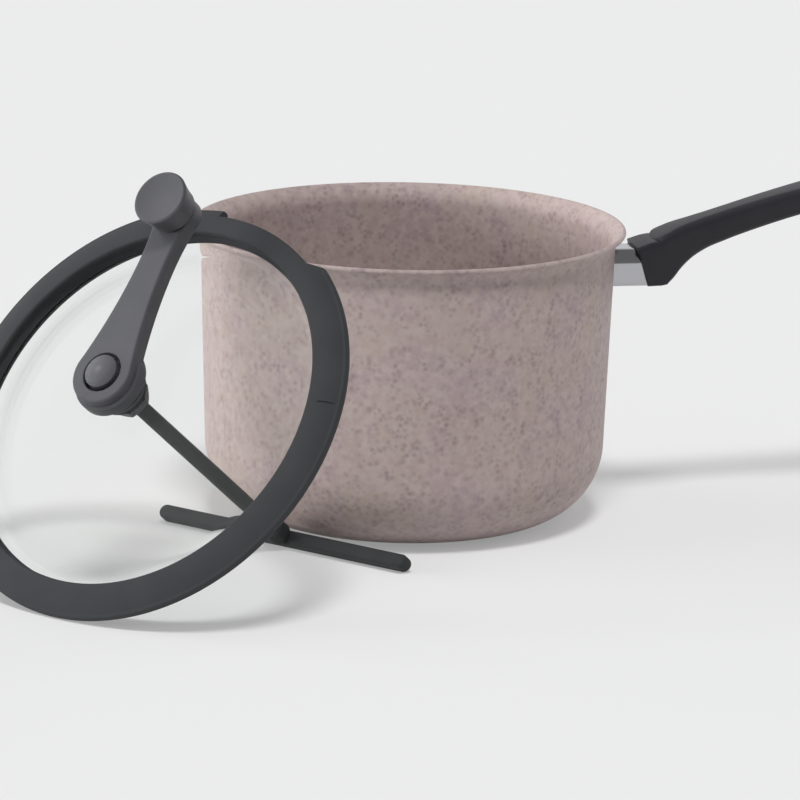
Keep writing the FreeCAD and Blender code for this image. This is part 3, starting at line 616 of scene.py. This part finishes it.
def ring_section(face):
    """The ring's closed section: slope, flange, skirt, groove round the glass, ledge and rim."""
    edge_r = RING_RADIUS - FLANGE_EDGE
    groove_r, groove_top = GLASS_RADIUS + 0.1, GLASS_RIM_TOP + 0.02
    groove_low = GLASS_RIM_TOP - GLASS_THICKNESS - 0.02
    inside = rounded([(SKIRT_RADIUS + 4, -FLANGE_HALF), (SKIRT_RADIUS, -FLANGE_HALF, 0.4),
                      (SKIRT_RADIUS, -SKIRT_DEPTH, 1.2), (SKIRT_INSIDE + 1.4, -SKIRT_DEPTH, 0.4),
                      (SKIRT_INSIDE, 0.8 - SKIRT_DEPTH, 0.3), (SKIRT_INSIDE, groove_low),
                      (groove_r, groove_low), (groove_r, groove_top),
                      (89.2, groove_top, 0.2), (91.3, 0.9, 0.5), (91.4, 3.6)])
    return np.vstack([face, arc((edge_r, FLANGE_HALF - FLANGE_EDGE), FLANGE_EDGE, 90, 0, 9)[1:],
                      arc((edge_r, FLANGE_EDGE - FLANGE_HALF), FLANGE_EDGE, 0, -90, 9), inside,
                      arc((LIP_RADIUS + LIP_ROUND, LIP_HEIGHT - LIP_ROUND), LIP_ROUND, 235, 90, 12)])


def lid_ring():
    """Moulded ring turned from its section.  Its edge moves in by flange_cut(angle) and keeps to
    the slope of the face, and a fine groove crosses part of the face."""
    face = ring_face()
    section = divided(ring_section(face), 1.0)
    ends = [VENT_START - 0.1, VENT_END - 0.04, VENT_END + 0.04,
            SHOULDER_END - 0.04, SHOULDER_END + 0.04]
    mark = MARK_ANGLE + np.array([-0.3, -0.22, 0.22, 0.3])
    angles = np.unique(np.round(np.concatenate([np.arange(0, 360, 0.75), ends, mark]), 3))
    r = section[:, :1] + 0 * angles
    z = section[:, 1:] + 0 * angles
    cut = flange_cut(angles)[None]
    edge_r = RING_RADIUS - FLANGE_EDGE
    moved = r - cut * np.clip((r - CUT_FADES) / (edge_r - CUT_FADES), 0, 1)
    upper = (z > 0) & (r > LIP_RADIUS + LIP_ROUND)
    fall = (np.interp(np.minimum(moved, edge_r - cut), *face.T)
            - np.interp(np.minimum(r, edge_r), *face.T))
    z = z + np.where(upper, fall, 0)
    marked = upper & (r > MARK_START) & (r < MARK_END) & (np.abs(angles - MARK_ANGLE) < 0.25)
    z = z - MARK_DEPTH * marked
    turn = np.radians(angles)
    grid = np.stack([moved * np.cos(turn), moved * np.sin(turn), z], -1)
    piece = build("lid_ring_skin", [grid], SILICONE, lid=True, smooth=35.0)
    stand_for(piece, "lid", "lid_ring")


def lid_glass():
    """Domed disc: a spherical cap with a hole for the hub, a curve at its foot that touches both
    the cap and the flat rim, and the rim held by the ring."""
    apex, dome, blend, hole = 20.5, 170.0, 10.0, 6.0
    centre = apex - dome
    blend_z = GLASS_RIM_TOP + blend
    blend_r = math.sqrt((dome + blend) ** 2 - (blend_z - centre) ** 2)
    meet = math.degrees(math.atan2(blend_z - centre, blend_r))

    def face(depth):
        """One face of the glass, from the hole to the rim."""
        start = math.degrees(math.acos(hole / (dome - depth)))
        return np.vstack([arc((0, centre), dome - depth, start, meet, 48),
                          arc((blend_r, blend_z), blend + depth, 180 + meet, 270, 12),
                          [[GLASS_RADIUS, GLASS_RIM_TOP - depth]]])

    profile = np.vstack([face(0.0), face(GLASS_THICKNESS)[::-1], face(0.0)[:1]])
    piece = build("lid_glass_dome", [lathe(profile, 200)], GLASS, lid=True, smooth=25.0)
    stand_for(piece, "lid", "lid_glass")


def hub_neck():
    """Turned bearing housing that stands on the glass, with a flange and a threaded tube below."""
    bore, thread, flange, neck = 4.65, 5.6, 12.5, 10.0
    low, seat, top = 10.6, 21.5, 27.4
    profile = rounded([(bore, low), (thread, low, 0.3), (thread, seat), (flange, seat, 0.5),
                       (flange, 23.7, 0.6), (neck, 23.9, 2.0), (neck, top, 0.4), (bore, top),
                       (bore, low)])
    piece = build("hub_neck_skin", [lathe(divided(profile, 2.0), 96)], NYLON, lid=True)
    stand_for(piece, "lid", "hub_neck")


# ---- crank, shaft and paddle ---------------------------------------------------------------------

ARM_BOTTOM, ARM_TOP, ARM_REACH, ARM_EDGE = 31.8, 40.0, 84.0, 1.3
HUB_RADIUS, HUB_TURN = 15.8, 20.0             # the hub's circle ends this many degrees above level
TIP_RADIUS, TIP_TURN, WAIST = 10.0, 8.0, (7.8, 57.0)
RECESS_RADIUS, RECESS_FLOOR = 9.8, 36.0
HOLLOW_START, HOLLOW_END, ROOF = 19.4, 73.0, 2.6        # the hollow underside and its thickness
RIBS, RIB_HALF = (34, 47, 60), 0.9
BOSS_RADIUS, BOSS_LOW, BOSS_HIGH = 17.4, 29.0, 35.6
SHAFT_REACH, SHAFT_RADIUS = 132.2, 3.75
PADDLE_LENGTH, PADDLE_HALF, PADDLE_EDGE = 149.0, 3.6, 1.9


def arm_plan():
    """Plan of the arm: hollow-curved sides from a round hub to a waist, a flare and a round end."""
    hub = arc((0, 0), HUB_RADIUS, 180 - HUB_TURN, 360 + HUB_TURN, 56)
    tip = arc((0, ARM_REACH), TIP_RADIUS, -TIP_TURN, 180 + TIP_TURN, 40)
    side = arc_through(hub[-1], (10.2, 29.0), WAIST, 60)
    flare = arc_through(WAIST, (8.2, 70.0), tip[0], 24)
    right = np.vstack([side, flare[1:]])
    return np.vstack([right, tip[1:-1], right[::-1] * [-1, 1], hub[1:-1]])


def arm_top(plan, edge):
    """Flat top from the arm's edge to the cap's recess, and the recess.  The edge runs first to a
    keyhole, a circle with a narrow lane along the arm, and the keyhole to the recess.  The angle
    that a point runs to grows all the way round, so that no runs cross: round the hub it is the
    point's own, and up a side it nears 90 degrees."""
    lane, eye, neck, hub_end, tip_half, near_end = 2.0, 11.0, 20.0, 5.4, 6.4, 88.0
    x, y = plan.T
    side = np.clip(x / tip_half, -1, 1)
    foot = math.degrees(math.acos(lane / eye))
    low = np.clip((y - hub_end) / (neck - hub_end), 0, 1)
    climb = np.clip((y - neck) / (ARM_REACH - neck), 0, 1)
    right = HUB_TURN + (foot - HUB_TURN) * low + (near_end - foot) * climb
    turn = np.where(y > hub_end, 90 - side * (90 - right), np.degrees(np.arctan2(y, x)))
    turn = np.unwrap(np.radians(turn))

    def circle(radius, z):
        """Ring of the recess's points at a radius and a height."""
        return level(radius * np.stack([np.cos(turn), np.sin(turn)], 1), z)

    lane_low = eye * math.sin(math.radians(foot))
    in_lane = level(np.stack([lane * side, lane_low + (ARM_REACH - lane_low) * climb], 1), ARM_TOP)
    keyhole = np.where(y[:, None] > neck, in_lane, circle(eye, ARM_TOP))
    mouth = circle(RECESS_RADIUS + 0.3, ARM_TOP)
    rows = [edge * (1 - s) + keyhole * s for s in np.linspace(0, 1, 6)[1:]]
    rows += [keyhole * (1 - s) + mouth * s for s in np.linspace(0, 1, 4)[1:]]
    rows += [circle(RECESS_RADIUS, ARM_TOP - 0.25), circle(RECESS_RADIUS, ARM_TOP - 0.6)]
    return rows + [circle(radius, RECESS_FLOOR) for radius in (RECESS_RADIUS, 6.0, 0.0)]


def arm_underside(plan):
    """Underside from its middle line to the outer wall: a roof that is high in the hollows and low
    at three ribs, and the rounded lower edge of the wall round it."""
    y = plan[:, 1]
    hollow = (y > HOLLOW_START) & (y < HOLLOW_END)
    for rib in RIBS:
        hollow &= np.abs(y - rib) > RIB_HALF
    roof = np.where(hollow, ARM_TOP - ROOF, ARM_BOTTOM + 0.02)
    spine = np.column_stack([0 * y, np.clip(y, 0, ARM_REACH)])
    rim = [(0.0, 0.5), (0.15, 0.15), (0.5, 0.0), (2.1, 0.0), (2.2, 0.01)]
    rows = [level(inward(plan, inset), ARM_BOTTOM + height) for inset, height in rim]
    rows += [level(inward(plan, 2.3) * (1 - s) + spine * s, roof) for s in (0.0, 0.5, 0.97)]
    rows.append(level(0 * plan, ARM_BOTTOM))
    return rows[::-1]


def crank_arm():
    """Arm: its plan moved inward over a rounded top edge, between the flat top with the cap's
    recess and the ribbed underside; the hub's boss is turned."""
    plan = arm_plan()
    edge = [level(inward(plan, ARM_EDGE * (1 - math.cos(a))), ARM_TOP - ARM_EDGE * (1 - math.sin(a)))
            for a in np.radians(np.linspace(0, 90, 8))]
    body = np.array(arm_underside(plan) + edge + arm_top(plan, edge[-1]))
    boss = rounded([(0.0, BOSS_LOW), (BOSS_RADIUS, BOSS_LOW, 1.0),
                    (BOSS_RADIUS, BOSS_HIGH, 2.0), (0.0, BOSS_HIGH)])
    piece = build("crank_arm_skin", [body, lathe(divided(boss, 3.0), 128)], NYLON, lid=True)
    stand_for(piece, "stirrer", "crank_arm")


def hub_cap():
    """Domed cap: a spherical arc on a short cylinder, turned."""
    top, rise, radius, bottom = 43.4, 2.3, 8.2, 36.2
    curve = (radius ** 2 + rise ** 2) / (2 * rise)
    centre = top - curve
    start = math.degrees(math.asin((top - rise - centre) / curve))
    profile = np.vstack([[[0.0, bottom], [radius, bottom]], arc((0, centre), curve, start, 90, 20)])
    profile[-1, 0] = 0.0
    piece = build("hub_cap_dome", [lathe(divided(profile, 1.5), 96)], GLOSS_NYLON, lid=True)
    stand_for(piece, "stirrer", "hub_cap")


def drive_shaft():
    """Plain round rod with the clip's groove and two thin ends, in the paddle and in the crank."""
    foot, pilot, groove, stud = -SHAFT_REACH, 2.4, 2.9, 2.5
    groove_low, groove_high, shoulder, top = 8.85, 9.65, 31.5, 40.2
    profile = rounded([(0.0, foot - 2.4), (pilot, foot - 2.4, 0.3), (pilot, foot + 2),
                       (SHAFT_RADIUS, foot + 2), (SHAFT_RADIUS, groove_low, 0.1),
                       (groove, groove_low), (groove, groove_high),
                       (SHAFT_RADIUS, groove_high, 0.1), (SHAFT_RADIUS, shoulder),
                       (stud, shoulder), (stud, top), (0.0, top)])
    piece = build("drive_shaft_rod", [lathe(divided(profile, 4.0), 64)], ROD, lid=True)
    stand_for(piece, "stirrer", "drive_shaft")


def paddle():
    """Bar with round ends: its plan drawn in towards its middle line over rounded edges below and
    above, and a turned boss."""
    foot, half, edge = -SHAFT_REACH, PADDLE_HALF, PADDLE_EDGE
    reach = PADDLE_LENGTH / 2 - half
    plan = np.vstack([arc((reach, 0), half, -90, 90, 24), arc((-reach, 0), half, 90, 270, 24)])
    plan = divided(np.vstack([plan, plan[:1]]), 3.0)[:-1]
    spine = np.column_stack([np.clip(plan[:, 0], -reach, reach), 0 * plan[:, 1]])
    rows = []
    for side, start, end in ((-1, -90, 0), (1, 0, 90)):
        for a in np.radians(np.linspace(start, end, 8)):
            share = (half - edge + edge * math.cos(a)) / half
            z = foot + side * (half - edge) + edge * math.sin(a)
            rows.append(level(spine + (plan - spine) * share, z))
    low, high = (level(spine * 0.999, foot + side * half) for side in (-1, 1))
    bar = np.array([low * [0, 0, 1], low] + rows + [high, high * [0, 0, 1]])
    boss = rounded([(0.0, foot + 1.0), (3.2, foot + 1.0), (5.8, foot + 4.0, 1.5),
                    (5.8, foot + 12.0, 1.0), (0.0, foot + 12.0)])
    piece = build("paddle_bar", [bar, lathe(divided(boss, 2.0), 64)], BLACK_NYLON, lid=True)
    stand_for(piece, "stirrer", "paddle")


def crank_knob():
    """Turned knob: a waisted side that flares to a rounded rim, and a dished top, a spherical
    bowl."""
    low, height, foot_radius, top_radius, dish = 40.75, 13.2, 11.4, 13.5, 1.3
    high, lip = low + height, top_radius - 1.6
    foot = rounded([(0.0, low), (foot_radius, low, 0.8), (foot_radius, low + 1.5)])
    side = arc_through((foot_radius, low + 1.5), (foot_radius + 0.7, low + 6.0),
                       (top_radius, high - 1.1), 20)
    rim = arc_through((top_radius, high - 1.1), (top_radius - 0.35, high - 0.3), (lip, high), 12)
    bowl = (lip ** 2 + dish ** 2) / (2 * dish)
    opening = math.degrees(math.asin(lip / bowl))
    hollow = arc((0, high - dish + bowl), bowl, opening - 90, -90, 24)
    profile = np.vstack([foot, side[1:], rim[1:], hollow[1:]])
    profile[-1, 0] = 0.0
    grid = lathe(profile, 128) + [0, ARM_REACH, 0]
    piece = build("crank_knob_skin", [grid], NYLON, lid=True)
    stand_for(piece, "knob", "crank_knob")


# ---- floor, light and camera ---------------------------------------------------------------------

BACKDROP = 0.83        # the world seen directly, where 1 is white
ROOM = 0.22            # the room above and in front, as shiny surfaces reflect it
AMBIENT = 0.36         # the world's light on the object
FLOOR_GLOW = 0.275     # the part of the floor's brightness that is its own

# soft bright patches in the reflected room: azimuth, elevation, inner and outer angle, brightness
SOFTBOX = [(166, 42, 25, 50, 0.9), (166, 42, 6, 10, 3.0)]

# name, azimuth, elevation, strength, spread
LAMPS = [("key", 180, 3.5, 0.95, 24), ("kicker", 152, 3.5, 0.50, 20),
         ("high_front", -96, 64, 0.66, 14), ("fill", 35, 4, 0.42, 24)]

EYE = (-0.557596, -2.868583, 0.748464)
EYE_RIGHT = (0.982467, -0.185380, 0.019848)
EYE_UP = (0.023848, 0.230543, 0.972770)
EYE_FORWARD = (0.184907, 0.955240, -0.230922)
LENS, SENSOR = 277.94, 36.0


def floor():
    """Plain pale floor just under the pot's base.  Seen directly, in shiny metal or through the
    glass, a part of its brightness is its own, so that the shadows on it stay light."""
    size, z = 7.0, -0.0003
    mesh = bpy.data.meshes.new("floor")
    corners = [(-size, -size, z), (size, -size, z), (size, size, z), (-size, size, z)]
    mesh.from_pydata(corners, [], [(0, 1, 2, 3)])
    material = bpy.data.materials.new("floor")
    material.use_nodes = True
    tree = material.node_tree
    plain = tree.nodes["Principled BSDF"]
    plain.inputs["Base Color"].default_value = srgb(222, 222, 222)
    plain.inputs["Roughness"].default_value = 0.9
    plain.inputs["Specular IOR Level"].default_value = 0.1
    shaded = tree.nodes.new("ShaderNodeBsdfDiffuse")
    shaded.inputs["Color"].default_value = srgb(190, 190, 190)
    glow = tree.nodes.new("ShaderNodeEmission")
    glow.inputs["Color"].default_value = (1.0, 1.0, 1.0, 1.0)
    glow.inputs["Strength"].default_value = FLOOR_GLOW
    both = tree.nodes.new("ShaderNodeAddShader")
    tree.links.new(shaded.outputs[0], both.inputs[0])
    tree.links.new(glow.outputs[0], both.inputs[1])
    path = tree.nodes.new("ShaderNodeLightPath")
    seen = path.outputs["Is Camera Ray"]
    for ray in ("Is Glossy Ray", "Is Transmission Ray"):
        either = tree.nodes.new("ShaderNodeMath")
        either.operation = "MAXIMUM"
        tree.links.new(seen, either.inputs[0])
        tree.links.new(path.outputs[ray], either.inputs[1])
        seen = either.outputs[0]
    choice = tree.nodes.new("ShaderNodeMixShader")
    tree.links.new(seen, choice.inputs["Fac"])
    tree.links.new(plain.outputs[0], choice.inputs[1])
    tree.links.new(both.outputs[0], choice.inputs[2])
    tree.links.new(choice.outputs[0], tree.nodes["Material Output"].inputs["Surface"])
    mesh.materials.append(material)
    plane = bpy.data.objects.new("floor", mesh)
    bpy.context.scene.collection.objects.link(plane)


def lamp(name, azimuth, elevation, strength, spread):
    """A soft distant lamp in a direction in degrees; at strength 1 a white surface that faces it
    renders white.  The object doesn't reflect it."""
    data = bpy.data.lights.new(name, "SUN")
    data.energy = math.pi * strength
    data.angle = math.radians(spread)
    thing = bpy.data.objects.new(name, data)
    thing.rotation_euler = (math.radians(90 - elevation), 0, math.radians(azimuth + 90))
    thing.visible_glossy = False
    thing.visible_transmission = False
    bpy.context.scene.collection.objects.link(thing)


def toward(azimuth, elevation):
    """Unit vector of a direction in degrees."""
    a, e = math.radians(azimuth), math.radians(elevation)
    return (math.cos(a) * math.cos(e), math.sin(a) * math.cos(e), math.sin(e))


def surroundings():
    """World: even dim light on the object; seen directly or through glass it is the pale
    backdrop.  Shiny surfaces reflect that backdrop low down behind the object, a darker room
    above and in front, and a soft window in it."""
    world = bpy.data.worlds.new("studio")
    world.use_nodes = True
    tree = world.node_tree
    back = tree.nodes["Background"]

    def put(socket, value):
        """Links another node's output to the socket, or sets its value."""
        if isinstance(value, bpy.types.NodeSocket):
            tree.links.new(value, socket)
        else:
            socket.default_value = value

    def math_node(operation, *values):
        """One arithmetic step."""
        node = tree.nodes.new("ShaderNodeMath")
        node.operation = operation
        for socket, value in zip(node.inputs, values):
            put(socket, value)
        return node.outputs[0]

    def ramp(value, low, high, to_low, to_high):
        """Smooth step from to_low to to_high as the value goes from low to high."""
        node = tree.nodes.new("ShaderNodeMapRange")
        node.interpolation_type = "SMOOTHSTEP"
        for socket, number in zip(node.inputs, (value, low, high, to_low, to_high)):
            put(socket, number)
        return node.outputs["Result"]

    path = tree.nodes.new("ShaderNodeLightPath").outputs
    direction = tree.nodes.new("ShaderNodeTexCoord").outputs["Generated"]
    split = tree.nodes.new("ShaderNodeSeparateXYZ")
    put(split.inputs[0], direction)
    behind = math_node("MULTIPLY_ADD", split.outputs["Z"], -0.8, split.outputs["Y"])
    room = ramp(behind, 0.0, 0.6, ROOM, BACKDROP)
    for azimuth, elevation, inner, outer, brightness in SOFTBOX:
        facing = tree.nodes.new("ShaderNodeVectorMath")
        facing.operation = "DOT_PRODUCT"
        put(facing.inputs[0], direction)
        facing.inputs[1].default_value = toward(azimuth, elevation)
        edges = [math.cos(math.radians(angle)) for angle in (outer, inner)]
        room = math_node("ADD", room, ramp(facing.outputs["Value"], *edges, 0.0, brightness))
    # what each kind of ray meets, the last choice first: light that has left a matt surface
    # always meets AMBIENT
    matt = math_node("GREATER_THAN", path["Diffuse Depth"], 0.5)
    strength = back.inputs["Strength"]
    for ray, seen in ((matt, AMBIENT), (path["Is Glossy Ray"], room),
                      (path["Is Transmission Ray"], BACKDROP), (path["Is Camera Ray"], BACKDROP)):
        choice = tree.nodes.new("ShaderNodeMix")
        choice.data_type = "FLOAT"
        put(choice.inputs["Factor"], ray)
        put(choice.inputs["B"], seen)
        put(strength, choice.outputs["Result"])
        strength = choice.inputs["A"]
    strength.default_value = AMBIENT
    back.inputs["Color"].default_value = (0.97, 0.98, 1.0, 1.0)
    bpy.context.scene.world = world


def light():
    """The world, and the lamps: a broad low key at the left with a narrower one behind it, a soft
    one high in front and a low fill at the right."""
    surroundings()
    for settings in LAMPS:
        lamp(*settings)


def camera():
    """Camera at its place, turned by its right, up and forward directions, with a long lens."""
    data = bpy.data.cameras.new("camera")
    data.lens = LENS
    data.sensor_width = SENSOR
    data.clip_start, data.clip_end = 0.1, 30.0
    eye = bpy.data.objects.new("camera", data)
    turn = np.array([EYE_RIGHT, EYE_UP, [-c for c in EYE_FORWARD]]).T
    eye.matrix_world = Matrix.Translation(EYE) @ Matrix(turn.tolist()).to_4x4()
    bpy.context.scene.collection.objects.link(eye)
    bpy.context.scene.camera = eye


camera()
finish_nodes()
pot_shell()
flame_guard()
handle()
lid_ring()
lid_glass()
hub_neck()
crank_arm()
hub_cap()
drive_shaft()
paddle()
crank_knob()
floor()
light()
bpy.context.scene.view_settings.view_transform = "Standard"
